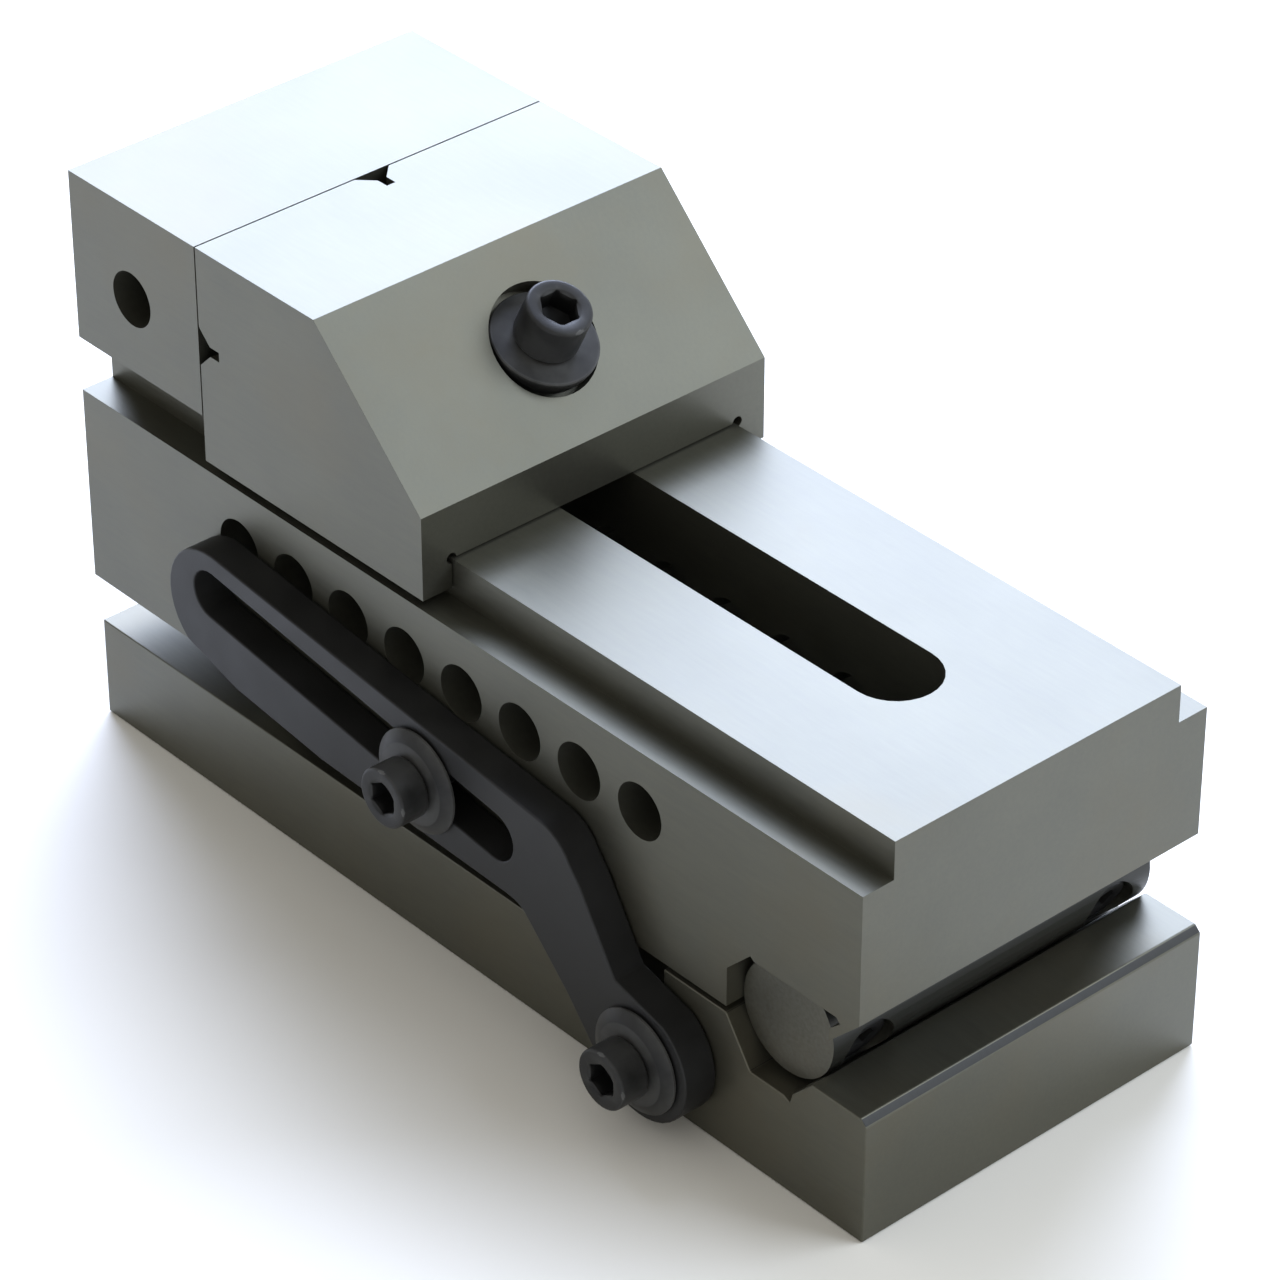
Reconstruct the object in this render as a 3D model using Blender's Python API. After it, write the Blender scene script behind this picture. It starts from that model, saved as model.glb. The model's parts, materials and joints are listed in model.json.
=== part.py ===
"""Toolmaker's sine vise, 73 mm wide: a sine base, a tilting screwless vise and a slotted locking arm.

Frame: metres, +Z up, origin at the centre of the base's underside, +X from the fixed jaw's end to the
hinge end, -Y the side of the locking arm. Lengths below are millimetres on a bench grid: x from the
fixed jaw's back, y from the arm's side, z from the underside of the base. at() turns them into the frame.
"""

import math

import bmesh
import bpy
from mathutils import Matrix, Vector

# Driving dimensions, in millimetres
LENGTH = 190.0
BASE_START = 1.5
BODY_LENGTH = 189.5
WIDTH = 73.0
GAP = 0.3
ROUND = 48

# Sine rollers
ROLLER_RADIUS = 10.0
SINE_CENTRES = 125.0
HINGE_X = 170.7
ROLLER_Z = 29.3
ROLLER_NEAR_END = 3.4
ROLLER_FAR_END = 72.2
ROLLER_SCREW_Y = (11.6, 64.0)
REST_X = HINGE_X - SINE_CENTRES

# Base
BASE_TOP = 19.0
BASE_BLOCK_TOP = 26.4
BASE_BLOCK_START = 146.0
BASE_LIP_TOP = 23.6
BASE_EDGE_CHAMFER = 1.2
GROOVE_FLOOR = 18.0
GROOVE_RELIEF = 17.3
GROOVE_HALF = 4.8
BLOCK_SLOPE_RUN = 5.6
RAMP_FOOT = 19.4

# Vise body
BODY_BOTTOM = 27.6
LEDGE_TOP = 64.8
RAIL_TOP = 71.8
RAIL_INSET = 6.3
JAW_TOP = 106.8
FIXED_JAW_THICKNESS = 33.4
FIXED_JAW_BOTTOM = 75.1
NOTCH_CLEARANCE = GAP
NOTCH_FACET = 5.2
REST_NOTCH_SPACE = 2.0
HINGE_NOTCH_SPACE = 2.3
LEG_TIP_Z = 34.2
SLOT_WIDTH = 15.6
SLOT_START = 36.0
SLOT_END = 165.8
SLOT_FLOOR = 46.0
POCKET_WIDTH = 44.0
POCKET_START = 40.0
POCKET_END = 148.0

# Cross holes, whose upper halves are the seats of the cross bar
HOLE_RADIUS = 5.0
HOLE_Z = 53.6
FIRST_HOLE_X = 41.7
HOLE_PITCH = 14.1
HOLE_COUNT = 8
SEAT_HOLE = 1
STOP_HOLE = (15.7, 89.2)
STOP_HOLE_DEPTH = 18.0

# Movable jaw
JAW_BACK = FIXED_JAW_THICKNESS + GAP
JAW_TOP_END = 63.8
JAW_FRONT = 89.2
JAW_SLANT_END = 82.0
JAW_BOTTOM = 66.6
VEE_HALF = 3.6
VEE_RELIEF_DEPTH = 5.0
VEE_RELIEF_HALF = 0.9
VEE_Z = 88.5
CORNER_RELIEF = 1.0

# Clamp screw of the movable jaw, on an axis leaning towards the fixed jaw
SCREW_LEAN = math.radians(63.0)
SEAT_X = FIRST_HOLE_X + SEAT_HOLE * HOLE_PITCH
BAR_DROP = 5.8
BAR_RADIUS = 4.2
BAR_LENGTH = 42.0
BAR_BOSS_RADIUS = 7.0
BAR_BOSS_BELOW = 6.5
BAR_BOSS_ABOVE = 5.5
SCREW_RADIUS = 3.9
SCREW_TIP = -13.0
SCREW_HEAD_START = 46.5
SCREW_HEAD_RADIUS = 5.6
SCREW_HEAD_HEIGHT = 8.0
SCREW_HEX = 3.46
SCREW_HEX_DEPTH = 4.2
BALL_RADIUS = 9.3
BALL_CENTRE = 46.6
BALL_BOTTOM = 40.4
BALL_TOP = 46.2
COUNTERBORE_RADIUS = 9.9
COUNTERBORE_DEPTH = 5.0
SCREW_HOLE_RADIUS = 5.6
KEEPER_TOP = 39.8
KEEPER_THICKNESS = 1.0
KEEPER_RADIUS = 5.3

# Roller screws
ROLLER_SCREW_HEAD = 4.6
ROLLER_SCREW_SHANK = 2.8
ROLLER_SCREW_HEAD_HEIGHT = 5.0
ROLLER_SCREW_HEX = 2.3
ROLLER_SCREW_HEX_DEPTH = 2.8
ROLLER_SCREW_SEAT = 3.5
ROLLER_SCREW_REACH = 16.5
ROLLER_SCREW_TILT = math.radians(25.0)
ROLLER_COUNTERBORE = 5.2

# Locking arm
ARM_THICKNESS = 6.3
ARM_GAP = 0.35
PIVOT = (147.6, 13.0)
ARM_BOLT = (95.4, 38.6)
ARM_BOSS = 11.0
ARM_END = 11.2
ARM_SLOPE = 0.133
ARM_SLOT_RISE = 1.36
ARM_SLOT_HALF = 4.4
ARM_SLOT_START = 42.0
ARM_SLOT_END = 113.6
BOLT_HOLE_DEPTH = 12.5
BOLT_NECK = 2.7
BOLT_HEAD = 5.3
BOLT_HEAD_HEIGHT = 5.6
BOLT_HEX = 3.1
BOLT_HEX_DEPTH = 3.4
WASHER_RADIUS = 9.2
WASHER_THICKNESS = 1.7
BUSH_RADIUS = 4.6
PIVOT_NECK = 2.9

PARTS_NAME = "sine_vise"


def at(x, y, z):
    """A point of the bench grid, in the part's frame."""
    return Vector(((x - BASE_START - LENGTH / 2) / 1000, (y - WIDTH / 2) / 1000, z / 1000))


def clear_scene():
    for obj in list(bpy.data.objects):
        bpy.data.objects.remove(obj, do_unlink=True)


def new_collection(name):
    collection = bpy.data.collections.new(name)
    bpy.context.scene.collection.children.link(collection)
    return collection


def put_in(obj, collection):
    for owner in list(obj.users_collection):
        owner.objects.unlink(obj)
    collection.objects.link(obj)


def material(name, color, roughness, metallic):
    made = bpy.data.materials.new(name)
    made.use_nodes = True
    shader = made.node_tree.nodes["Principled BSDF"]
    shader.inputs["Base Color"].default_value = (*color, 1.0)
    shader.inputs["Roughness"].default_value = roughness
    shader.inputs["Metallic"].default_value = metallic
    return made


def box(name, low, high):
    """A box between two bench points, with its scale applied."""
    a = at(*low)
    b = at(*high)
    bpy.ops.mesh.primitive_cube_add(size=1.0, location=(a + b) / 2)
    obj = bpy.context.active_object
    obj.name = name
    obj.data.transform(Matrix.Diagonal((*(b - a), 1.0)))
    return obj


def cylinder(name, start, end, radius, vertices=ROUND):
    """A cylinder between two bench points, with its origin at the start."""
    a = at(*start)
    b = at(*end)
    length = (b - a).length
    bpy.ops.mesh.primitive_cylinder_add(vertices=vertices, radius=radius / 1000, depth=length)
    obj = bpy.context.active_object
    obj.name = name
    obj.data.transform(Matrix.Translation((0, 0, length / 2)))
    obj.rotation_euler = Vector((0, 0, 1)).rotation_difference(b - a).to_euler()
    obj.location = a
    return obj


def solid_outline(name, points, thickness, placement):
    """A flat outline given in metres, filled and thickened evenly, as a closed mesh in its placement."""
    curve = bpy.data.curves.new(name + "_outline", "CURVE")
    curve.dimensions = "2D"
    curve.fill_mode = "BOTH"
    curve.extrude = thickness / 2
    spline = curve.splines.new("POLY")
    spline.points.add(len(points) - 1)
    for point, (across, up) in zip(spline.points, points):
        point.co = (across, up, 0.0, 1.0)
    spline.use_cyclic_u = True
    guide = bpy.data.objects.new(name + "_outline", curve)
    bpy.context.scene.collection.objects.link(guide)
    guide.matrix_world = placement
    bpy.context.view_layer.update()
    evaluated = guide.evaluated_get(bpy.context.evaluated_depsgraph_get())
    mesh = bpy.data.meshes.new_from_object(evaluated)
    weld(mesh)
    obj = bpy.data.objects.new(name, mesh)
    bpy.context.scene.collection.objects.link(obj)
    obj.matrix_world = guide.matrix_world.copy()
    bpy.data.objects.remove(guide, do_unlink=True)
    return obj


def plate(name, outline, y_low, y_high):
    """An outline of bench (x, z) points, as a solid between two y values."""
    points = [at(x, 0, z).xz for x, z in outline]
    middle = at(0, (y_low + y_high) / 2, 0).y
    placement = Matrix.Translation((0, middle, 0)) @ Matrix.Rotation(math.pi / 2, 4, "X")
    return solid_outline(name, points, (y_high - y_low) / 1000, placement)


def column(name, outline, z_low, z_high):
    """An outline of bench (x, y) points, as a solid between two heights."""
    points = [at(x, y, 0).xy for x, y in outline]
    placement = Matrix.Translation((0, 0, (z_low + z_high) / 2000))
    return solid_outline(name, points, (z_high - z_low) / 1000, placement)


def weld(mesh):
    work = bmesh.new()
    work.from_mesh(mesh)
    bmesh.ops.remove_doubles(work, verts=work.verts, dist=0.00001)
    bmesh.ops.recalc_face_normals(work, faces=work.faces)
    work.to_mesh(mesh)
    work.free()


def arc(centre, radius, start, end, steps):
    """Points of a round stretch, in degrees from +x towards +z, both ends included."""
    points = []
    for i in range(steps + 1):
        angle = math.radians(start + (end - start) * i / steps)
        points.append((centre[0] + radius * math.cos(angle), centre[1] + radius * math.sin(angle)))
    return points


def capsule(start, end, radius, steps=12):
    """Outline of a straight slot with round ends, between its two end centres."""
    heading = math.degrees(math.atan2(end[1] - start[1], end[0] - start[0]))
    outline = arc(end, radius, heading - 90, heading + 90, steps)
    return outline + arc(start, radius, heading + 90, heading + 270, steps)


class Model:
    """Collects parts and cutters in their collections."""

    def __init__(self):
        self.parts = new_collection(PARTS_NAME)
        self.cutters = new_collection("cutters")

    def part(self, obj, finish):
        put_in(obj, self.parts)
        obj.data.materials.clear()
        obj.data.materials.append(finish)
        return obj

    def boolean(self, target, tool, operation="DIFFERENCE"):
        put_in(tool, self.cutters)
        tool.hide_render = True
        tool.display_type = "WIRE"
        change = target.modifiers.new(tool.name, "BOOLEAN")
        change.object = tool
        change.operation = operation
        change.solver = "EXACT"

    def cut(self, target, *tools):
        for tool in tools:
            self.boolean(target, tool)

    def join(self, target, *tools):
        for tool in tools:
            self.boolean(target, tool, "UNION")


def shade_round(obj):
    obj.data.shade_smooth()
    obj.data.set_sharp_from_angle(angle=math.radians(35))


def on_screw_axis(distance, y=WIDTH / 2):
    """A point on the clamp screw's axis, at a distance up from the cross bar's seat."""
    return (SEAT_X + distance * math.cos(SCREW_LEAN), y, HOLE_Z + distance * math.sin(SCREW_LEAN))


def on_roller_axis(roller_x, distance, y):
    """A point on a roller screw's axis: positive towards the body, negative towards the head."""
    back = distance * math.cos(ROLLER_SCREW_TILT)
    rise = distance * math.sin(ROLLER_SCREW_TILT)
    return (roller_x - back, y, ROLLER_Z + rise)


def notch_walls(roller_x):
    """The L-shaped seat of a roller in the body: upright wall, slanted facet, relief step and roof."""
    wall = roller_x - ROLLER_RADIUS - NOTCH_CLEARANCE
    roof = ROLLER_Z + ROLLER_RADIUS + NOTCH_CLEARANCE
    facet_low = ROLLER_Z + 5.7
    return [
        (wall, facet_low),
        (wall + NOTCH_FACET, facet_low + NOTCH_FACET),
        (wall + NOTCH_FACET + 0.8, roof),
    ]


def base_outline():
    """Side view of the base: gauge block seat, raised block, roller groove and front lip."""
    end = BASE_START + LENGTH
    ramp_shift = (ROLLER_RADIUS + NOTCH_CLEARANCE) * math.sqrt(2)
    ramp_top = HINGE_X + ramp_shift + BASE_LIP_TOP - ROLLER_Z
    ramp_bottom = HINGE_X + ramp_shift + RAMP_FOOT - ROLLER_Z
    return [
        (BASE_START, 0.0),
        (end, 0.0),
        (end, BASE_LIP_TOP - BASE_EDGE_CHAMFER),
        (end - BASE_EDGE_CHAMFER, BASE_LIP_TOP),
        (ramp_top, BASE_LIP_TOP),
        (ramp_bottom, RAMP_FOOT),
        (ramp_bottom - 0.6, GROOVE_RELIEF),
        (ramp_bottom - 1.9, GROOVE_FLOOR),
        (HINGE_X - GROOVE_HALF, GROOVE_FLOOR),
        (HINGE_X - GROOVE_HALF - BLOCK_SLOPE_RUN, BASE_BLOCK_TOP),
        (BASE_BLOCK_START, BASE_BLOCK_TOP),
        (BASE_BLOCK_START, BASE_TOP),
        (BASE_START, BASE_TOP),
    ]


def body_outline():
    """Side view of the bed: underside, two roller notches, the leg at the hinge end and the ledge."""
    rest_wall = REST_X + ROLLER_RADIUS + REST_NOTCH_SPACE
    leg_wall = HINGE_X + ROLLER_RADIUS + HINGE_NOTCH_SPACE
    roof = ROLLER_Z + ROLLER_RADIUS + NOTCH_CLEARANCE
    outline = [(0.0, BODY_BOTTOM), (REST_X - ROLLER_RADIUS - NOTCH_CLEARANCE, BODY_BOTTOM)]
    outline += notch_walls(REST_X)
    outline += [(rest_wall, roof), (rest_wall, BODY_BOTTOM)]
    outline += [(HINGE_X - ROLLER_RADIUS - NOTCH_CLEARANCE, BODY_BOTTOM)]
    outline += notch_walls(HINGE_X)
    outline += [
        (leg_wall + 1.6, roof),
        (leg_wall + 2.4, roof - 0.9),
        (leg_wall, roof - 3.0),
        (leg_wall, LEG_TIP_Z),
        (BODY_LENGTH, LEG_TIP_Z + BODY_LENGTH - leg_wall),
        (BODY_LENGTH, LEDGE_TOP),
        (0.0, LEDGE_TOP),
    ]
    return outline


def make_base(model, finish):
    base = model.part(plate("base_plate", base_outline(), 0.0, WIDTH), finish)
    hole_start = (PIVOT[0], -2.0, PIVOT[1])
    hole_end = (PIVOT[0], BOLT_HOLE_DEPTH, PIVOT[1])
    model.cut(base, cylinder("pivot_thread_cutter", hole_start, hole_end, PIVOT_NECK + 0.2))
    return base


def make_body(model, finish):
    body = model.part(plate("vise_body", body_outline(), 0.0, WIDTH), finish)
    far_inset = WIDTH - RAIL_INSET
    overlap = 4.0
    rail = box("rail", (0.0, RAIL_INSET, LEDGE_TOP - overlap), (BODY_LENGTH, far_inset, RAIL_TOP))
    neck_low = (0.0, RAIL_INSET, LEDGE_TOP - overlap + 1)
    neck_high = (FIXED_JAW_THICKNESS, far_inset, FIXED_JAW_BOTTOM + overlap)
    neck = box("neck", neck_low, neck_high)
    jaw_high = (FIXED_JAW_THICKNESS, WIDTH, JAW_TOP)
    jaw = box("fixed_jaw", (0.0, 0.0, FIXED_JAW_BOTTOM), jaw_high)
    model.join(body, rail, neck, jaw)

    mid = WIDTH / 2
    pocket_low = (POCKET_START, mid - POCKET_WIDTH / 2, BODY_BOTTOM - 5)
    pocket_high = (POCKET_END, mid + POCKET_WIDTH / 2, HOLE_Z)
    model.cut(body, box("pocket_cutter", pocket_low, pocket_high))
    model.cut(body, top_slot_cutter())
    for i in range(HOLE_COUNT):
        x = FIRST_HOLE_X + i * HOLE_PITCH
        name = "cross_hole_cutter_%d" % (i + 1)
        model.cut(body, cylinder(name, (x, -3.0, HOLE_Z), (x, WIDTH + 3.0, HOLE_Z), HOLE_RADIUS))
    x, z = STOP_HOLE
    near_end = (x, STOP_HOLE_DEPTH, z)
    far_start = (x, WIDTH - STOP_HOLE_DEPTH, z)
    model.cut(
        body,
        cylinder("near_stop_hole_cutter", (x, -3.0, z), near_end, HOLE_RADIUS),
        cylinder("far_stop_hole_cutter", far_start, (x, WIDTH + 3.0, z), HOLE_RADIUS),
    )
    bolt_start = (ARM_BOLT[0], -2.0, ARM_BOLT[1])
    bolt_end = (ARM_BOLT[0], BOLT_HOLE_DEPTH, ARM_BOLT[1])
    model.cut(body, cylinder("arm_thread_cutter", bolt_start, bolt_end, BOLT_NECK + 0.3))
    for x in (HINGE_X, REST_X):
        for y in ROLLER_SCREW_Y:
            start = on_roller_axis(x, 8.0, y)
            end = on_roller_axis(x, ROLLER_SCREW_REACH + 1.5, y)
            cutter = cylinder("roller_thread_cutter", start, end, ROLLER_SCREW_SHANK + 0.25)
            model.cut(body, cutter)
    return body


def top_slot_cutter():
    """The long round-ended slot down the middle of the rail, as a standing capsule."""
    radius = SLOT_WIDTH / 2
    start = (SLOT_START + radius, WIDTH / 2)
    end = (SLOT_END - radius, WIDTH / 2)
    return column("slot_cutter", capsule(start, end, radius, 14), SLOT_FLOOR, RAIL_TOP + 4)


def vee_outline(centre):
    """Cross-section of a V groove with a relief slot at its bottom, opening towards -x."""
    return [
        (JAW_BACK - 1.0, centre + VEE_HALF + 1.0),
        (JAW_BACK - 1.0, centre - VEE_HALF - 1.0),
        (JAW_BACK + VEE_HALF - VEE_RELIEF_HALF, centre - VEE_RELIEF_HALF),
        (JAW_BACK + VEE_RELIEF_DEPTH, centre - VEE_RELIEF_HALF),
        (JAW_BACK + VEE_RELIEF_DEPTH, centre + VEE_RELIEF_HALF),
        (JAW_BACK + VEE_HALF - VEE_RELIEF_HALF, centre + VEE_RELIEF_HALF),
    ]


def make_movable_jaw(model, finish):
    outline = [
        (JAW_BACK, JAW_BOTTOM),
        (JAW_FRONT, JAW_BOTTOM),
        (JAW_FRONT, JAW_SLANT_END),
        (JAW_TOP_END, JAW_TOP),
        (JAW_BACK, JAW_TOP),
    ]
    jaw = model.part(plate("movable_jaw", outline, 0.0, WIDTH), finish)
    inner = RAIL_INSET - GAP
    saddle_top = RAIL_TOP + GAP
    saddle_low = (JAW_BACK - 3, inner, JAW_BOTTOM - 5)
    saddle_high = (JAW_FRONT + 3, WIDTH - inner, saddle_top)
    model.cut(jaw, box("saddle_cutter", saddle_low, saddle_high))
    for name, y in (("near", inner), ("far", WIDTH - inner)):
        start = (JAW_BACK - 4, y, saddle_top)
        end = (JAW_FRONT + 4, y, saddle_top)
        model.cut(jaw, cylinder(name + "_relief_cutter", start, end, CORNER_RELIEF, 16))
    level = plate("level_vee_cutter", vee_outline(VEE_Z), -3.0, WIDTH + 3.0)
    upright = plate("upright_vee_cutter", vee_outline(0.0), -25.0, 25.0)
    turn = Matrix.Rotation(math.radians(90), 4, "X")
    lift = Matrix.Translation((0, at(0, WIDTH / 2, 0).y, VEE_Z / 1000))
    flat = Matrix.Translation((0, -at(0, 0, 0).y, 0))
    upright.matrix_world = lift @ turn @ flat @ upright.matrix_world
    model.cut(jaw, level, upright)

    slant_x = (JAW_TOP_END + JAW_FRONT) / 2
    slant_z = (JAW_TOP + JAW_SLANT_END) / 2
    mid = WIDTH / 2
    inward = COUNTERBORE_DEPTH * math.sqrt(0.5)
    bore_end = (slant_x - inward, mid, slant_z - inward)
    bore_start = (slant_x + 9.0, mid, slant_z + 9.0)
    model.cut(jaw, cylinder("counterbore_cutter", bore_end, bore_start, COUNTERBORE_RADIUS))
    model.cut(jaw, ball("ball_seat_cutter", BALL_RADIUS + GAP))
    hole_start = on_screw_axis(10.0)
    hole_end = on_screw_axis(44.0)
    model.cut(jaw, cylinder("screw_hole_cutter", hole_start, hole_end, SCREW_HOLE_RADIUS))
    return jaw


def ball(name, radius):
    """A sphere round the ball washer's centre, its poles on the screw's axis."""
    bpy.ops.mesh.primitive_uv_sphere_add(
        segments=ROUND, ring_count=ROUND // 2, radius=radius / 1000
    )
    obj = bpy.context.active_object
    obj.name = name
    obj.rotation_euler = (0, math.pi / 2 - SCREW_LEAN, 0)
    obj.location = at(*on_screw_axis(BALL_CENTRE))
    return obj


def make_ball_washer(model, finish):
    washer = model.part(ball("ball_washer", BALL_RADIUS), finish)
    reach = 30.0
    top = cylinder("ball_top_cutter", on_screw_axis(BALL_TOP), on_screw_axis(BALL_TOP + reach), 20.0)
    low = on_screw_axis(BALL_BOTTOM - reach)
    bottom = cylinder("ball_bottom_cutter", low, on_screw_axis(BALL_BOTTOM), 20.0)
    bore_start = on_screw_axis(BALL_BOTTOM - 5)
    bore_end = on_screw_axis(BALL_TOP + 5)
    bore = cylinder("ball_bore_cutter", bore_start, bore_end, SCREW_RADIUS + 0.4)
    model.cut(washer, top, bottom, bore)
    shade_round(washer)
    return washer


def make_clamp_screw(model, finish):
    head_start = on_screw_axis(SCREW_HEAD_START)
    head_end = on_screw_axis(SCREW_HEAD_START + SCREW_HEAD_HEIGHT)
    screw = model.part(cylinder("jaw_clamp_screw", head_start, head_end, SCREW_HEAD_RADIUS), finish)
    tip = on_screw_axis(SCREW_TIP)
    shank_top = on_screw_axis(SCREW_HEAD_START + 1)
    model.join(screw, cylinder("screw_shank", tip, shank_top, SCREW_RADIUS))
    top = SCREW_HEAD_START + SCREW_HEAD_HEIGHT
    hex_start = on_screw_axis(top - SCREW_HEX_DEPTH)
    hex_end = on_screw_axis(top + 2)
    model.cut(screw, cylinder("screw_hex_cutter", hex_start, hex_end, SCREW_HEX, 6))
    shade_round(screw)
    return screw


def make_keeper(model, finish):
    start = on_screw_axis(KEEPER_TOP - KEEPER_THICKNESS)
    end = on_screw_axis(KEEPER_TOP)
    keeper = model.part(cylinder("screw_keeper_ring", start, end, KEEPER_RADIUS), finish)
    bore_start = on_screw_axis(KEEPER_TOP - 4)
    bore_end = on_screw_axis(KEEPER_TOP + 4)
    model.cut(keeper, cylinder("keeper_bore_cutter", bore_start, bore_end, SCREW_RADIUS + 0.25))
    return keeper


def make_cross_bar(model, finish):
    x, mid, z = on_screw_axis(-BAR_DROP)
    half = BAR_LENGTH / 2
    bar = model.part(cylinder("cross_bar", (x, mid - half, z), (x, mid + half, z), BAR_RADIUS), finish)
    boss_start = on_screw_axis(-BAR_DROP - BAR_BOSS_BELOW)
    boss_end = on_screw_axis(-BAR_DROP + BAR_BOSS_ABOVE)
    model.join(bar, cylinder("bar_boss", boss_start, boss_end, BAR_BOSS_RADIUS))
    thread_start = on_screw_axis(-BAR_DROP - 15)
    thread_end = on_screw_axis(-BAR_DROP + 15)
    model.cut(bar, cylinder("bar_thread_cutter", thread_start, thread_end, SCREW_RADIUS + 0.2))
    shade_round(bar)
    return bar


def make_roller(model, name, x, steel, black):
    start = (x, ROLLER_NEAR_END, ROLLER_Z)
    end = (x, ROLLER_FAR_END, ROLLER_Z)
    roller = model.part(cylinder(name, start, end, ROLLER_RADIUS), steel)
    for side, y in zip(("near", "far"), ROLLER_SCREW_Y):
        tag = name + "_" + side
        bore = cylinder(
            tag + "_counterbore_cutter",
            on_roller_axis(x, -13.0, y),
            on_roller_axis(x, -ROLLER_SCREW_SEAT + GAP, y),
            ROLLER_COUNTERBORE,
        )
        hole = cylinder(
            tag + "_hole_cutter",
            on_roller_axis(x, -8.0, y),
            on_roller_axis(x, 13.0, y),
            ROLLER_SCREW_SHANK + 0.4,
        )
        model.cut(roller, bore, hole)
        make_roller_screw(model, name + "_screw_" + side, x, y, black)
    shade_round(roller)
    return roller


def make_roller_screw(model, name, x, y, finish):
    outer = -ROLLER_SCREW_SEAT - ROLLER_SCREW_HEAD_HEIGHT
    head_start = on_roller_axis(x, -ROLLER_SCREW_SEAT, y)
    head_end = on_roller_axis(x, outer, y)
    screw = model.part(cylinder(name, head_start, head_end, ROLLER_SCREW_HEAD), finish)
    shank_start = on_roller_axis(x, -ROLLER_SCREW_SEAT - 1, y)
    shank_end = on_roller_axis(x, ROLLER_SCREW_REACH, y)
    model.join(screw, cylinder(name + "_shank", shank_start, shank_end, ROLLER_SCREW_SHANK, 24))
    hex_start = on_roller_axis(x, outer + ROLLER_SCREW_HEX_DEPTH, y)
    hex_end = on_roller_axis(x, outer - 2, y)
    model.cut(screw, cylinder(name + "_hex_cutter", hex_start, hex_end, ROLLER_SCREW_HEX, 6))
    shade_round(screw)


def arm_slot_z(x):
    """Height of the arm slot's centre line at a bench x, with the vise flat."""
    return ARM_BOLT[1] + ARM_SLOT_RISE - (x - ARM_BOLT[0]) * ARM_SLOPE


def arm_outline():
    """Slotted bar with a round end, bent down to a round boss on the pivot."""
    end_centre = (ARM_SLOT_START, arm_slot_z(ARM_SLOT_START) - 3.2)
    outline = arc(PIVOT, ARM_BOSS, -150, 60, 21)
    outline += [(142.0, 25.4), (134.0, 38.6)]
    outline += arc((123.6, 37.4), 9.0, 28, 84, 6)
    outline += arc(end_centre, ARM_END, 86, 232, 14)
    outline += [(48.0, 31.4), (70.0, 28.9), (116.0, 27.7)]
    outline += arc((117.0, 21.8), 5.8, 80, 40, 3)
    outline += [(130.6, 16.4)]
    return outline


def make_arm(model, finish):
    y_front = -ARM_GAP - ARM_THICKNESS
    arm = model.part(plate("angle_arm", arm_outline(), y_front, -ARM_GAP), finish)
    start = (ARM_SLOT_START, arm_slot_z(ARM_SLOT_START))
    end = (ARM_SLOT_END, arm_slot_z(ARM_SLOT_END))
    slot = plate("arm_slot_cutter", capsule(start, end, ARM_SLOT_HALF), y_front - 3, 3.0)
    pivot_start = (PIVOT[0], y_front - 3, PIVOT[1])
    pivot_end = (PIVOT[0], 3.0, PIVOT[1])
    model.cut(arm, slot, cylinder("arm_pivot_cutter", pivot_start, pivot_end, BUSH_RADIUS + GAP))
    return arm


def make_bolt(model, name, centre, neck, finish):
    """A socket screw with a waisted neck, its head on the arm's side."""
    x, z = centre
    head_back = -ARM_GAP - ARM_THICKNESS - GAP - WASHER_THICKNESS - GAP
    head_front = head_back - BOLT_HEAD_HEIGHT
    screw = cylinder(name, (x, head_back, z), (x, head_front, z), BOLT_HEAD)
    screw = model.part(screw, finish)
    shank_end = (x, BOLT_HOLE_DEPTH - 1.0, z)
    model.join(screw, cylinder(name + "_shank", (x, head_back - 1, z), shank_end, neck, 24))
    hex_start = (x, head_front + BOLT_HEX_DEPTH, z)
    hex_end = (x, head_front - 2, z)
    model.cut(screw, cylinder(name + "_hex_cutter", hex_start, hex_end, BOLT_HEX, 6))
    shade_round(screw)


def make_washer(model, name, centre, bore, finish):
    x, z = centre
    back = -ARM_GAP - ARM_THICKNESS - GAP
    front = back - WASHER_THICKNESS
    washer = model.part(cylinder(name, (x, back, z), (x, front, z), WASHER_RADIUS), finish)
    model.cut(washer, cylinder(name + "_bore_cutter", (x, back + 2, z), (x, front - 2, z), bore))
    shade_round(washer)


def make_bush(model, finish):
    x, z = PIVOT
    y_front = -ARM_GAP - ARM_THICKNESS
    start = (x, y_front, z)
    end = (x, -ARM_GAP + 0.05, z)
    bush = model.part(cylinder("arm_pivot_bush", start, end, BUSH_RADIUS), finish)
    bore = cylinder("bush_bore_cutter", (x, y_front - 2, z), (x, 2.0, z), PIVOT_NECK + GAP)
    model.cut(bush, bore)
    shade_round(bush)


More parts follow.
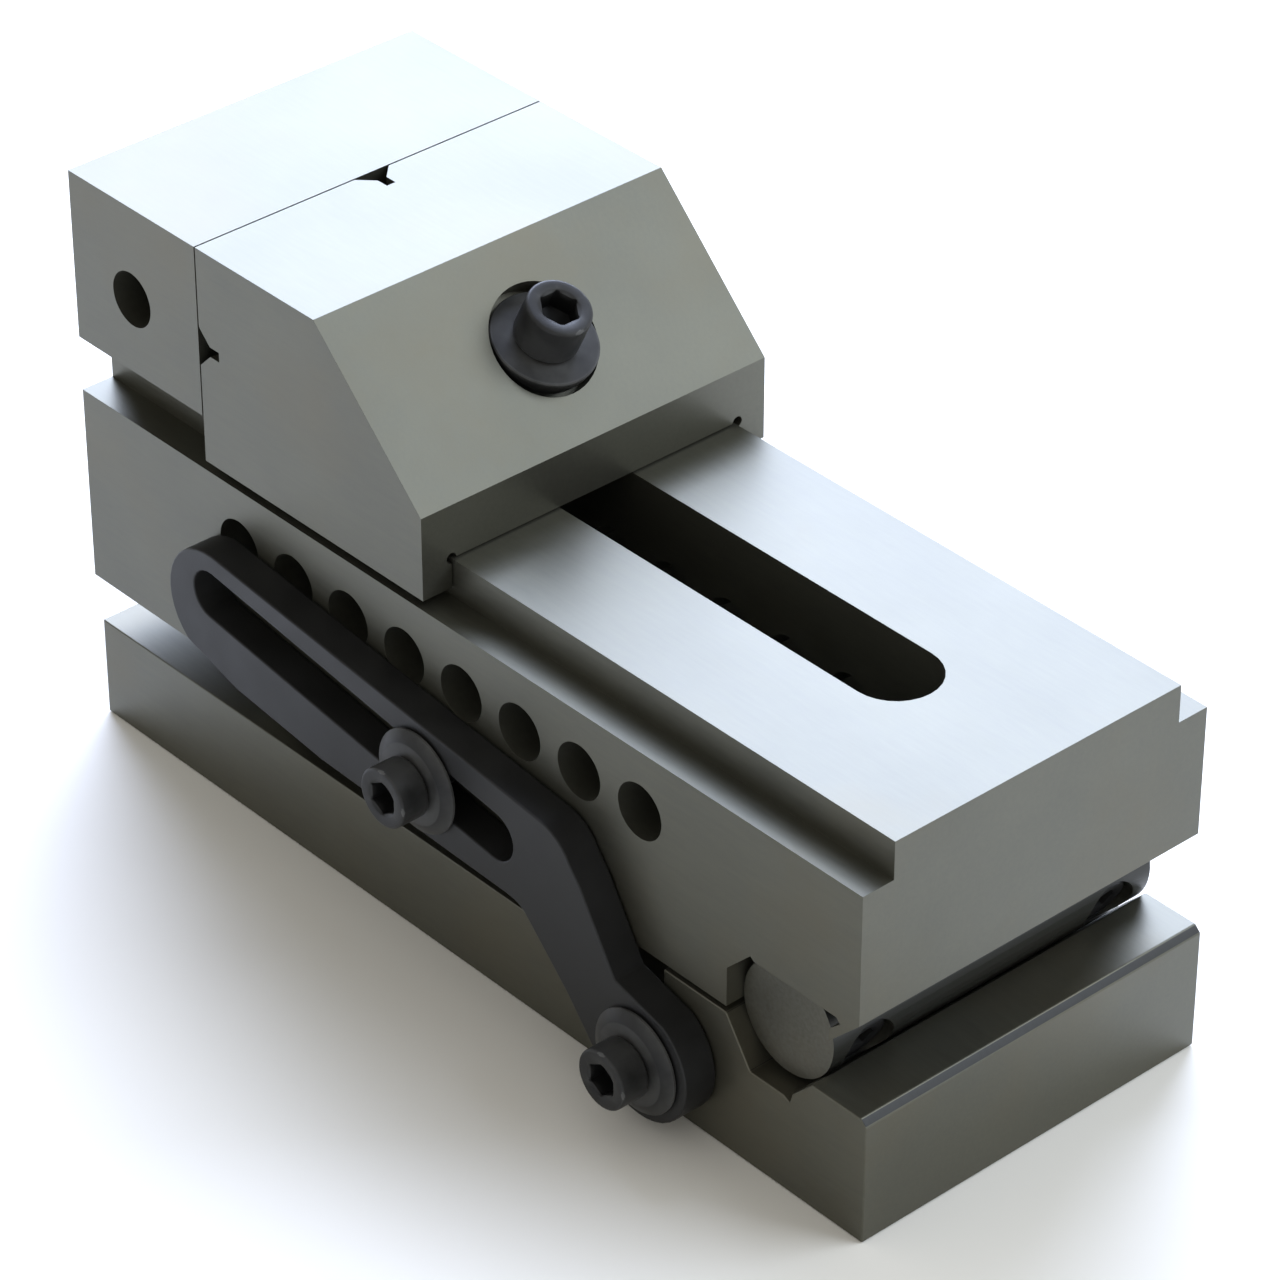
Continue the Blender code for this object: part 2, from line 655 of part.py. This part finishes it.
def main():
    clear_scene()
    model = Model()
    ground = material("ground_steel", (0.55, 0.56, 0.55), 0.32, 0.9)
    roller_steel = material("roller_steel", (0.50, 0.50, 0.48), 0.28, 0.9)
    black = material("black_oxide", (0.03, 0.03, 0.03), 0.45, 0.5)
    bar_steel = material("bar_steel", (0.35, 0.35, 0.34), 0.4, 0.9)

    make_base(model, ground)
    make_body(model, ground)
    make_movable_jaw(model, ground)
    make_roller(model, "hinge_roller", HINGE_X, roller_steel, black)
    make_roller(model, "rest_roller", REST_X, roller_steel, black)
    make_ball_washer(model, black)
    make_clamp_screw(model, black)
    make_keeper(model, bar_steel)
    make_cross_bar(model, bar_steel)
    make_arm(model, black)
    make_bolt(model, "arm_clamp_screw", ARM_BOLT, BOLT_NECK, black)
    make_washer(model, "arm_clamp_washer", ARM_BOLT, BOLT_NECK + 0.3, black)
    make_bush(model, bar_steel)
    make_bolt(model, "arm_pivot_screw", PIVOT, PIVOT_NECK, black)
    make_washer(model, "arm_pivot_washer", PIVOT, PIVOT_NECK + 0.3, black)


main()
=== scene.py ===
"""The sine vise as it is seen: ground steel blocks, black screws and arm, in a pale studio.

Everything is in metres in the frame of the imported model. Sizes of the turned pieces are
millimetres along their own axis, and each is placed from its CAD piece or its joint.
"""

import json
import math

import bmesh
import bpy
from mathutils import Matrix, Vector

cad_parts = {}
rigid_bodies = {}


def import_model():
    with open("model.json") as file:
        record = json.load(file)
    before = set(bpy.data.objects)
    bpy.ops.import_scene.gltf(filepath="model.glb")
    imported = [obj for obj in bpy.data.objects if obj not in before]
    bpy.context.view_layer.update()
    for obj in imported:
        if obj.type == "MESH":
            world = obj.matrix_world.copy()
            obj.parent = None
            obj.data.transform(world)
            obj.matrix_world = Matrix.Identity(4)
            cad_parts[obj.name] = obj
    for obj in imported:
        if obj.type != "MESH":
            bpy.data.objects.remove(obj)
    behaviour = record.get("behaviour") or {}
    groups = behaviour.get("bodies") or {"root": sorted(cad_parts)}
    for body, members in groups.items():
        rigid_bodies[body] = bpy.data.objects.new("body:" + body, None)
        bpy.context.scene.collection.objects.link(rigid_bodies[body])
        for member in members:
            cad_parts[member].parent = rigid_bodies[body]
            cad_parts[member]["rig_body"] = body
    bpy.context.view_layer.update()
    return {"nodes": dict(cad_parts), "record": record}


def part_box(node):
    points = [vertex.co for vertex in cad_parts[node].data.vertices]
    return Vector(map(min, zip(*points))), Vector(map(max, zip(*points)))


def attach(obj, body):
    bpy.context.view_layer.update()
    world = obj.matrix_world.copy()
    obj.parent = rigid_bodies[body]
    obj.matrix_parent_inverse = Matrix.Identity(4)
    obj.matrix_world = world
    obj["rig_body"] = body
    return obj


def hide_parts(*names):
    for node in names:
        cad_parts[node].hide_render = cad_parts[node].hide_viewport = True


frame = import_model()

NODES = frame["nodes"]
JOINTS = {joint["name"]: joint for joint in frame["record"]["behaviour"]["joints"]}

MM = 0.001
STEPS = 72
SHARP = math.radians(32)

# Colours, as linear light
STEEL_LIGHT = (0.118, 0.116, 0.091)
STEEL_DARK = (0.099, 0.098, 0.079)
STAIN_TINT = (0.98, 0.88, 0.76)
# darker colour of the base's chamfer at the hinge end
DARK_CHAMFER = (0.030, 0.030, 0.029)
ROLLER_END = (0.150, 0.150, 0.130)
# painted shade for the rollers' round, which lies in the gap under the body
ROLLER_ROUND_SHADE = (0.036, 0.036, 0.032)
INNER_LIGHT = (0.13, 0.13, 0.125)
INNER_DARK = (0.10, 0.10, 0.095)
SCREW_BLACK = (0.008, 0.008, 0.008)
ARM_BLACK = (0.012, 0.012, 0.012)
# lighter rims of the black parts: wear, and a painted highlight
RUBBED_EDGE_GLINT = (0.13, 0.13, 0.125)
FLOOR_COLOR = (0.90, 0.88, 0.825)
STUDIO_COLOR = (1.0, 0.985, 0.945)
BACK_PANEL_COLOR = (0.655, 0.745, 1.0)
RIGHT_PANEL_COLOR = (0.785, 0.872, 1.0)

# Surfaces
STEEL_METALLIC = 0.75
GROUND_ROUGHNESS = 0.42
ROLLER_ROUGHNESS = 0.34
INNER_ROUGHNESS = 0.38
EVEN = (1, 1, 1)
GRAIN_ALONG_X = (0.12, 1, 1)
GRAIN_ALONG_Y = (1, 0.12, 1)

# Arm screws and washers, in millimetres
ARM_SCREW_NECKS = {"arm_clamp": 2.7, "arm_pivot": 2.9}
ARM_SCREW_THREAD = 9.5
ARM_SCREW_PITCH = 1.0
ARM_SCREW_HEX = 5.3
ARM_SCREW_HEX_DEPTH = 3.4
HEAD_GAP = 0.3
DISH_WIDTH = 2.0

# Clamp screw and ball washer of the movable jaw: heights are above the screw's joint
JAW_SCREW_TIP = -13.0
JAW_SCREW_SEAT = 46.5
JAW_SCREW_RADIUS = 3.9
JAW_SCREW_THREAD_END = -18.0
JAW_SCREW_PITCH = 1.25
JAW_HEAD_RADIUS = 5.6
JAW_HEAD_HEIGHT = 8.0
JAW_SCREW_HEX = 6.0
JAW_SCREW_HEX_DEPTH = 4.2
BALL_RADIUS = 9.3
BALL_CENTRE = 46.6
BALL_BOTTOM = 40.4
BALL_TOP = 46.2

# Cap screws of the rollers: distances are from the roller's own axis
ROLLER_SCREW_DOWN = math.radians(25.0)
ROLLER_SCREW_SEAT = 3.5
ROLLER_SCREW_REACH = 16.5
ROLLER_SCREW_RADIUS = 2.8
ROLLER_SCREW_PITCH = 1.0
ROLLER_HEAD_RADIUS = 4.6
ROLLER_HEAD_HEIGHT = 5.0
ROLLER_SCREW_HEX = 4.5
ROLLER_SCREW_HEX_DEPTH = 2.8

# Studio, in metres
FLOOR_SIZE = 6.0
FLOOR_DROP = 0.0002
STUDIO_STRENGTH = 0.56
AIM = Vector((0, 0, 0.05))

# Camera, at the viewing angle of a product shot from the hinge end and the arm's side
CAMERA_PLACE = (0.54535, -0.48302, 0.54248)
CAMERA_AZIMUTH = math.radians(48.31)
CAMERA_DOWN = math.radians(34.25)
CAMERA_LENS = 152.74


# Materials


class Shader:
    """A material's node tree, with short ways to add the nodes used here."""

    def __init__(self, name, color, metallic, roughness):
        self.material = bpy.data.materials.new(name)
        self.material.use_nodes = True
        self.tree = self.material.node_tree
        self.surface = self.tree.nodes["Principled BSDF"]
        self.surface.inputs["Base Color"].default_value = (*color, 1.0)
        self.surface.inputs["Metallic"].default_value = metallic
        self.surface.inputs["Roughness"].default_value = roughness

    def node(self, kind, **inputs):
        made = self.tree.nodes.new(kind)
        for key, value in inputs.items():
            made.inputs[key].default_value = value
        return made

    def link(self, start, end):
        self.tree.links.new(start, end)

    def place(self, stretch):
        """Object coordinates, in metres, stretched for grain that runs one way."""
        where = self.node("ShaderNodeTexCoord")
        mapping = self.node("ShaderNodeMapping", Scale=stretch)
        self.link(where.outputs["Object"], mapping.inputs["Vector"])
        return mapping.outputs["Vector"]

    def noise(self, scale, detail, rough=0.5, stretch=EVEN):
        made = self.node("ShaderNodeTexNoise", Scale=scale, Detail=detail, Roughness=rough)
        self.link(self.place(stretch), made.inputs["Vector"])
        return made.outputs["Fac"]

    def spread(self, value, low, high, start=0.3, end=0.7):
        """Carries a value that runs from start to end over to a run from low to high."""
        made = self.node("ShaderNodeMapRange")
        made.inputs["From Min"].default_value = start
        made.inputs["From Max"].default_value = end
        made.inputs["To Min"].default_value = low
        made.inputs["To Max"].default_value = high
        self.link(value, made.inputs["Value"])
        return made.outputs["Result"]

    def mix(self, value, color):
        """A colour mix that ends in a given colour; what it starts from is still to be set."""
        made = self.node("ShaderNodeMix")
        made.data_type = "RGBA"
        made.inputs["B"].default_value = (*color, 1.0)
        self.link(value, made.inputs["Factor"])
        return made

    def tint(self, value, dark, light):
        """Gives the surface a colour between two, by a value from 0 to 1."""
        made = self.mix(value, light)
        made.inputs["A"].default_value = (*dark, 1.0)
        self.link(made.outputs["Result"], self.surface.inputs["Base Color"])

    def cover(self, mask, color):
        """Lays another colour over the surface's own where a mask is above 0."""
        base = self.surface.inputs["Base Color"]
        over = self.mix(mask, color)
        self.link(base.links[0].from_socket, over.inputs["A"])
        self.link(over.outputs["Result"], base)

    def polish(self, value, middle, change):
        """Gives the surface a roughness that wanders either side of a middle."""
        rough = self.spread(value, middle - change, middle + change)
        self.link(rough, self.surface.inputs["Roughness"])

    def facing(self):
        """The parts along X, Y and Z of the surface's own normal."""
        where = self.node("ShaderNodeTexCoord")
        parts = self.node("ShaderNodeSeparateXYZ")
        self.link(where.outputs["Normal"], parts.inputs["Vector"])
        return parts.outputs["X"], parts.outputs["Y"], parts.outputs["Z"]

    def math(self, operation, *values):
        made = self.node("ShaderNodeMath")
        made.operation = operation
        for value, socket in zip(values, made.inputs):
            self.link(value, socket)
        return made.outputs["Value"]

    def bump(self, height, strength, distance):
        """Roughens the surface by a height, over a distance in metres."""
        made = self.node("ShaderNodeBump", Strength=strength, Distance=distance)
        self.link(height, made.inputs["Height"])
        self.link(made.outputs["Normal"], self.surface.inputs["Normal"])


def ground_steel(name, light, dark, roughness, grain):
    """Surface-ground steel: clouding, faint stains, and fine wheel marks that run one way."""
    shader = Shader(name, light, STEEL_METALLIC, roughness)
    clouds = shader.noise(scale=38.0, detail=7.0, rough=0.58)
    marks = shader.noise(scale=1300.0, detail=3.0, rough=0.6, stretch=grain)
    tone = shader.math("ADD", clouds, marks)
    shader.tint(shader.spread(tone, 0.0, 1.0, start=0.70, end=1.30), dark, light)
    stain = tuple(part * value for part, value in zip(STAIN_TINT, light))
    stained = shader.noise(scale=21.0, detail=5.0, rough=0.6)
    shader.cover(shader.spread(stained, 0.0, 0.55, start=0.50, end=0.72), stain)
    shader.polish(marks, roughness, 0.02)
    shader.bump(marks, strength=0.03, distance=0.00001)
    return shader


def chamfered_steel(name, light, dark, roughness, grain):
    """Ground steel whose chamfer along the hinge end is coloured dark."""
    shader = ground_steel(name, light, dark, roughness, grain)
    x, _, z = shader.facing()
    lean = shader.math("MINIMUM", x, z)
    # the chamfer, found by its normal leaning along both X and Z, is coloured dark
    shader.cover(shader.spread(lean, 0.0, 1.0, start=0.60, end=0.68), DARK_CHAMFER)
    return shader


def shaded_roller(name, light, dark, roughness, grain):
    """A hardened roller: bright ground ends, and its round painted dark as painted shade from the
    gap it lies in.
    """
    shader = ground_steel(name, light, dark, roughness, grain)
    _, y, _ = shader.facing()
    lengthwise = shader.math("ABSOLUTE", y)
    # painted shade: the round, whose normal runs across the roller's length, is coloured dark for
    # the shade of the gap it lies in
    shader.cover(shader.spread(lengthwise, 1.0, 0.0, start=0.25, end=0.6), ROLLER_ROUND_SHADE)
    return shader


def black_oxide(name, color, roughness, gloss, wear_and_glint):
    """Blackened steel: a thin dark skin with an uneven gloss, a fine tooth, and lighter edges,
    partly rubbed bare and partly a painted highlight on the rims.
    """
    shader = Shader(name, color, metallic=0.0, roughness=roughness)
    shader.surface.inputs["Specular IOR Level"].default_value = gloss
    patches = shader.noise(scale=120.0, detail=4.0)
    lighter = tuple(1.5 * value for value in color)
    shader.tint(shader.spread(patches, 0.0, 1.0), color, lighter)
    shader.polish(patches, roughness, 0.06)
    if wear_and_glint:
        # lighter edges: rubbed bare, and a painted highlight where the rims catch the light
        form = shader.node("ShaderNodeNewGeometry")
        edges = shader.spread(form.outputs["Pointiness"], 0.0, wear_and_glint, start=0.508, end=0.57)
        uneven = shader.spread(patches, 0.3, 1.0, start=0.35, end=0.6)
        shader.cover(shader.math("MULTIPLY", edges, uneven), RUBBED_EDGE_GLINT)
    tooth = shader.noise(scale=2600.0, detail=3.0)
    shader.bump(tooth, strength=0.15, distance=0.00003)
    return shader


def plain_paper(name, color):
    """The studio's floor: a matt sheet with the faintest mottling."""
    shader = Shader(name, color, metallic=0.0, roughness=0.9)
    shader.surface.inputs["Specular IOR Level"].default_value = 0.0
    mottle = shader.noise(scale=3.0, detail=2.0)
    nearly = tuple(0.99 * value for value in color)
    shader.tint(mottle, nearly, color)
    return shader


# Finishing the CAD pieces


def give(piece, finish):
    piece.data.materials.clear()
    piece.data.materials.append(finish.material)


def break_edges(node, finish, width, segments=2):
    """Joins a CAD piece's flat triangles into whole faces and rounds its edges a little."""
    piece = NODES[node]
    give(piece, finish)
    piece.data.shade_smooth()
    weld = piece.modifiers.new("weld", "WELD")
    weld.merge_threshold = 0.00001
    flats = piece.modifiers.new("flats", "DECIMATE")
    flats.decimate_type = "DISSOLVE"
    flats.angle_limit = math.radians(0.4)
    edge = piece.modifiers.new("edges", "BEVEL")
    edge.width = width * MM
    edge.segments = segments
    edge.limit_method = "ANGLE"
    edge.angle_limit = math.radians(30)
    edge.miter_outer = "MITER_ARC"
    shading = piece.modifiers.new("shading", "WEIGHTED_NORMAL")
    shading.weight = 100
    shading.keep_sharp = True


# Turned pieces


def ring_points(height, radius):
    """The points of one row of a turned piece, in metres: one point where the radius is 0."""
    if radius == 0:
        return [(0, 0, height * MM)]
    points = []
    for step in range(STEPS):
        angle = 2 * math.pi * step / STEPS
        out = (radius(angle) if callable(radius) else radius) * MM
        points.append((out * math.cos(angle), out * math.sin(angle), height * MM))
    return points


def turned(name, rows, placement, finish, closed=False):
    """A round piece from rows of (height, radius); a radius may be a function of the angle."""
    work = bmesh.new()
    rings = [[work.verts.new(point) for point in ring_points(*row)] for row in rows]
    pairs = list(zip(rings, rings[1:]))
    if closed:
        pairs.append((rings[-1], rings[0]))
    for low, high in pairs:
        for step in range(STEPS):
            after = (step + 1) % STEPS
            corners = [low[step % len(low)], low[after % len(low)]]
            corners += [high[after % len(high)], high[step % len(high)]]
            work.faces.new(list(dict.fromkeys(corners)))
    bmesh.ops.recalc_face_normals(work, faces=work.faces)
    mesh = bpy.data.meshes.new(name)
    work.to_mesh(mesh)
    work.free()
    mesh.shade_smooth()
    mesh.set_sharp_from_angle(angle=SHARP)
    piece = bpy.data.objects.new(name, mesh)
    bpy.context.scene.collection.objects.link(piece)
    piece.matrix_world = placement
    give(piece, finish)
    return piece


def along(origin, direction):
    """A placement whose +Z runs along a direction from an origin."""
    turn = Vector((0, 0, 1)).rotation_difference(Vector(direction))
    return Matrix.Translation(origin) @ turn.to_matrix().to_4x4()


def stand_in(piece, node):
    """Puts a turned piece in place of a CAD piece, on the same body."""
    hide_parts(node)
    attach(piece, NODES[node]["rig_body"])


def hexagon(across):
    """Radius of a hexagon of a given width across flats, as a function of the angle."""

    def radius(angle):
        folded = (angle + math.pi / 6) % (math.pi / 3) - math.pi / 6
        return across / 2 / math.cos(folded)

    return radius


def thread(outer, depth, height, pitch):
    """Radius of a screw thread at a height, as a function of the angle."""

    def radius(angle):
        phase = (height / pitch - angle / (2 * math.pi)) % 1.0
        return outer - depth * (1 - abs(2 * phase - 1))

    return radius


def threaded(outer, start, end, pitch):
    """Rows of a threaded stretch that fades in at its start and out at its end."""
    rows_per_turn = 6
    count = int((end - start) / pitch * rows_per_turn)
    full = 0.6 * pitch
    rows = []
    for i in range(count + 1):
        height = start + (end - start) * i / count
        fade = min(1.0, (height - start) / pitch, (end - height) / pitch)
        rows.append((height, thread(outer, full * max(fade, 0.0), height, pitch)))
    return rows


def arc_rows(height, out, radius, start, end, count):
    """Rows round an arc centred at (height, out), in degrees from outwards towards upwards."""
    rows = []
    for i in range(count + 1):
        angle = math.radians(start + (end - start) * i / count)
        rows.append((height + radius * math.sin(angle), out + radius * math.cos(angle)))
    return rows


def shank(length, radius, thread_end, pitch, point=(0.8, 0.7), fillet=(0.3, 0.2)):
    """Rows of a screw's shank from its tip up to the bearing face of its head, at height 0.

    The point is how much narrower the tip is and how high its taper; the fillet under the
    head is how high it is and how much wider it gets.
    """
    narrower, taper = point
    below, wider = fillet
    rows = [(-length, 0), (-length, radius - narrower), (-length + taper, radius - 0.05)]
    rows += threaded(radius, -length + taper + 0.1, thread_end, pitch)
    rows += [(thread_end + 0.1, radius), (-below, radius), (0.0, radius + wider)]
    return rows


def cap_head(radius, height, across, depth, edge=0.5):
    """Rows of a socket head: up from its bearing face, over the rim, down the hexagon."""
    rows = [(0.0, radius - 0.5), (0.35, radius - 0.1), (0.6, radius)]
    rows += arc_rows(height - edge, radius - edge, edge, 0, 90, 5)
    lip = 0.35
    rows += [(height, across / 2 + 2 * lip), (height - 0.1, across / 2 + lip + 0.15)]
    rows += [(height - lip, hexagon(across)), (height - depth, hexagon(across))]
    rows += [(height - depth - 0.1, across / 2 - 0.25), (height - depth - 0.9, 0)]
    return rows


# Scene


def main():
    block = (STEEL_LIGHT, STEEL_DARK, GROUND_ROUGHNESS, GRAIN_ALONG_X)
    ground = ground_steel("ground_steel", *block)
    base_steel = chamfered_steel("base_steel", *block)
    jaw_steel = ground_steel("jaw_steel", *block)
    roller = (ROLLER_END, STEEL_DARK, ROLLER_ROUGHNESS, GRAIN_ALONG_Y)
    roller_steel = shaded_roller("roller_steel", *roller)
    inner = (INNER_LIGHT, INNER_DARK, INNER_ROUGHNESS, GRAIN_ALONG_Y)
    dark_steel = ground_steel("dark_steel", *inner)
    black = black_oxide("black_oxide", SCREW_BLACK, roughness=0.44, gloss=0.17, wear_and_glint=0.8)
    arm_black = black_oxide("arm_black", ARM_BLACK, roughness=0.5, gloss=0.3, wear_and_glint=0.0)

    break_edges("base_plate", base_steel, 0.25)
    break_edges("vise_body", ground, 0.22)
    break_edges("movable_jaw", jaw_steel, 0.22)
    for node in ("hinge_roller", "rest_roller"):
        break_edges(node, roller_steel, 0.35, segments=3)
    break_edges("angle_arm", arm_black, 0.7, segments=4)
    break_edges("cross_bar", dark_steel, 0.3)
    break_edges("screw_keeper_ring", dark_steel, 0.12)
    break_edges("arm_pivot_bush", dark_steel, 0.15)

    make_arm_screws(black)
    make_jaw_screw(black)
    make_roller_screws(arm_black)
    make_stage()


def make_arm_screws(black):
    """The arm's clamp screw and pivot screw, each with its dished washer."""
    for place, neck in ARM_SCREW_NECKS.items():
        x, _, z = JOINTS[place + "_turn"]["pos_m"]
        screw_low, screw_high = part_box(place + "_screw")
        washer_low, washer_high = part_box(place + "_washer")
        head_back = washer_low.y - HEAD_GAP * MM
        length = (screw_high.y - head_back) / MM
        head_radius = (screw_high.x - screw_low.x) / 2 / MM
        head_height = (head_back - screw_low.y) / MM
        rows = shank(length, neck, ARM_SCREW_THREAD - length, ARM_SCREW_PITCH)
        rows += cap_head(head_radius, head_height, ARM_SCREW_HEX, ARM_SCREW_HEX_DEPTH)
        placement = along((x, head_back, z), (0, -1, 0))
        stand_in(turned(place + "_cap_screw", rows, placement, black), place + "_screw")

        radius = (washer_high.x - washer_low.x) / 2 / MM
        thick = (washer_high.y - washer_low.y) / MM
        rows = dished_washer(radius, thick, bore=neck + 0.3)
        placement = along((x, washer_high.y, z), (0, -1, 0))
        washer = turned(place + "_dished_washer", rows, placement, black, closed=True)
        stand_in(washer, place + "_washer")


def dished_washer(radius, thick, bore):
    """Rows of a washer with a flat back, a straight rim and a front that slopes up to the head."""
    inner = radius - DISH_WIDTH
    rows = [(0.0, bore + 0.2), (0.0, radius - 0.15), (0.15, radius), (0.5, radius)]
    rows += [(0.65, radius - 0.1), (thick - 0.12, inner + 0.12), (thick, inner - 0.1)]
    rows += [(thick, bore + 0.2), (thick - 0.2, bore), (0.2, bore)]
    return rows


def make_jaw_screw(black):
    """The movable jaw's clamp screw with the ball washer under its head."""
    joint = JOINTS["screw_turn"]
    up = -Vector(joint["axis"])
    origin = Vector(joint["pos_m"])
    length = JAW_SCREW_SEAT - JAW_SCREW_TIP
    rows = shank(length, JAW_SCREW_RADIUS, JAW_SCREW_THREAD_END, JAW_SCREW_PITCH,
                 point=(1.0, 0.9), fillet=(0.4, 0.3))
    rows += cap_head(JAW_HEAD_RADIUS, JAW_HEAD_HEIGHT, JAW_SCREW_HEX, JAW_SCREW_HEX_DEPTH, edge=0.6)
    placement = along(origin + up * JAW_SCREW_SEAT * MM, up)
    stand_in(turned("clamp_cap_screw", rows, placement, black), "jaw_clamp_screw")

    rows = ball_washer(BALL_BOTTOM - BALL_CENTRE, BALL_TOP - BALL_CENTRE, JAW_SCREW_RADIUS + 0.4)
    placement = along(origin + up * BALL_CENTRE * MM, up)
    washer = turned("ball_seat_washer", rows, placement, black, closed=True)
    stand_in(washer, "ball_washer")


def ball_washer(bottom, top, bore):
    """Rows of a washer whose outside is a zone of a ball; heights are from the ball's centre."""
    start = math.degrees(math.asin(bottom / BALL_RADIUS))
    end = math.degrees(math.asin((top - 0.25) / BALL_RADIUS))
    rows = [(bottom, bore + 0.2)]
    rows += arc_rows(0.0, 0.0, BALL_RADIUS, start, end, 14)
    rows += [(top - 0.05, BALL_RADIUS - 0.2), (top, BALL_RADIUS - 0.5)]
    rows += [(top, bore + 0.3), (top - 0.3, bore), (bottom + 0.2, bore)]
    return rows


def make_roller_screws(black):
    """The cap screws that hold the rollers, seated in their counterbores."""
    axis = Vector((math.cos(ROLLER_SCREW_DOWN), 0, -math.sin(ROLLER_SCREW_DOWN)))
    length = ROLLER_SCREW_REACH + ROLLER_SCREW_SEAT
    thread_end = -ROLLER_SCREW_SEAT - 2.0
    rows = shank(length, ROLLER_SCREW_RADIUS, thread_end, ROLLER_SCREW_PITCH,
                 point=(0.7, 0.7), fillet=(0.2, 0.2))
    rows += cap_head(ROLLER_HEAD_RADIUS, ROLLER_HEAD_HEIGHT, ROLLER_SCREW_HEX,
                     ROLLER_SCREW_HEX_DEPTH)
    for roller in ("hinge_roller", "rest_roller"):
        roller_low, roller_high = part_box(roller)
        for side in ("near", "far"):
            node = roller + "_screw_" + side
            low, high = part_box(node)
            middle = (roller_low + roller_high) / 2
            middle.y = (low.y + high.y) / 2
            placement = along(middle + axis * ROLLER_SCREW_SEAT * MM, axis)
            stand_in(turned(node + "_cap", rows, placement, black), node)


def make_stage():
    """The pale floor, the soft lights and the camera."""
    place = (0, 0, -FLOOR_DROP)
    bpy.ops.mesh.primitive_grid_add(
        x_subdivisions=2, y_subdivisions=2, size=FLOOR_SIZE, location=place
    )
    floor = bpy.context.active_object
    floor.name = "floor"
    give(floor, plain_paper("floor_paper", FLOOR_COLOR))

    world = bpy.data.worlds.new("studio")
    bpy.context.scene.world = world
    world.use_nodes = True
    background = world.node_tree.nodes["Background"]
    background.inputs["Color"].default_value = (*STUDIO_COLOR, 1.0)
    background.inputs["Strength"].default_value = STUDIO_STRENGTH

    soft_light("back_panel", (-1.10, 0.98, 1.05), 1.6, 12.6, BACK_PANEL_COLOR)
    soft_light("right_panel", (1.0, 0.98, 1.25), 1.2, 4.4, RIGHT_PANEL_COLOR)

    camera_data = bpy.data.cameras.new("camera")
    camera_data.lens = CAMERA_LENS
    camera_data.sensor_width = 36.0
    camera_data.clip_start = 0.01
    camera = bpy.data.objects.new("camera", camera_data)
    bpy.context.scene.collection.objects.link(camera)
    camera.location = CAMERA_PLACE
    camera.rotation_euler = (math.pi / 2 - CAMERA_DOWN, 0.0, CAMERA_AZIMUTH)
    bpy.context.scene.camera = camera
    bpy.context.scene.view_settings.view_transform = "Standard"


def soft_light(name, place, side, radiance, color):
    """A square soft panel aimed at the vise, of a given brightness as seen from it."""
    data = bpy.data.lights.new(name, "AREA")
    data.shape = "RECTANGLE"
    data.size, data.size_y = side, side
    data.energy = radiance * math.pi * side * side
    data.color = color
    light = bpy.data.objects.new(name, data)
    bpy.context.scene.collection.objects.link(light)
    light.location = place
    aim = AIM - Vector(place)
    light.rotation_euler = aim.to_track_quat("-Z", "Y").to_euler()


main()
